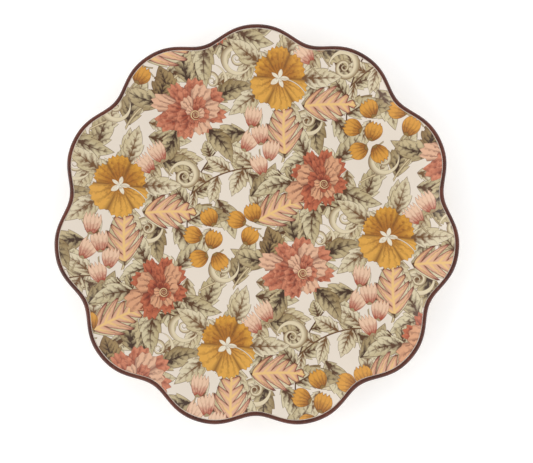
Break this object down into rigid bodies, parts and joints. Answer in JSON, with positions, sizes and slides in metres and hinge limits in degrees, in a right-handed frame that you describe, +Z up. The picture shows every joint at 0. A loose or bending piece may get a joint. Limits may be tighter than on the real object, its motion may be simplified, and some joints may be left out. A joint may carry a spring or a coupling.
{
  "type": "china dinner plate",
  "caption": "Shallow coupe dinner plate with a scalloped lobed rim, an all-over floral transfer, a dark banded lip and a raised foot ring.",
  "frame": {"origin": "centre of the foot ring's contact face, on the plate's axis, at the table", "axes": "+Z up out of the eating face along the plate's axis, +Y towards the middle of one lobe"},
  "size_m": [0.2698, 0.2678, 0.021],
  "materials": {
    "bare_china": "matte",
    "ivory_glaze": "gloss",
    "floral_print": "gloss",
    "brown_enamel": "gloss"
  },
  "bodies": {
    "root": {"china_body": "bare_china", "face_glaze": "ivory_glaze", "printed_transfer": "floral_print", "rim_band": "brown_enamel", "back_glaze": "ivory_glaze", "foot_recess_glaze": "ivory_glaze"}
  },
  "joints": []
}
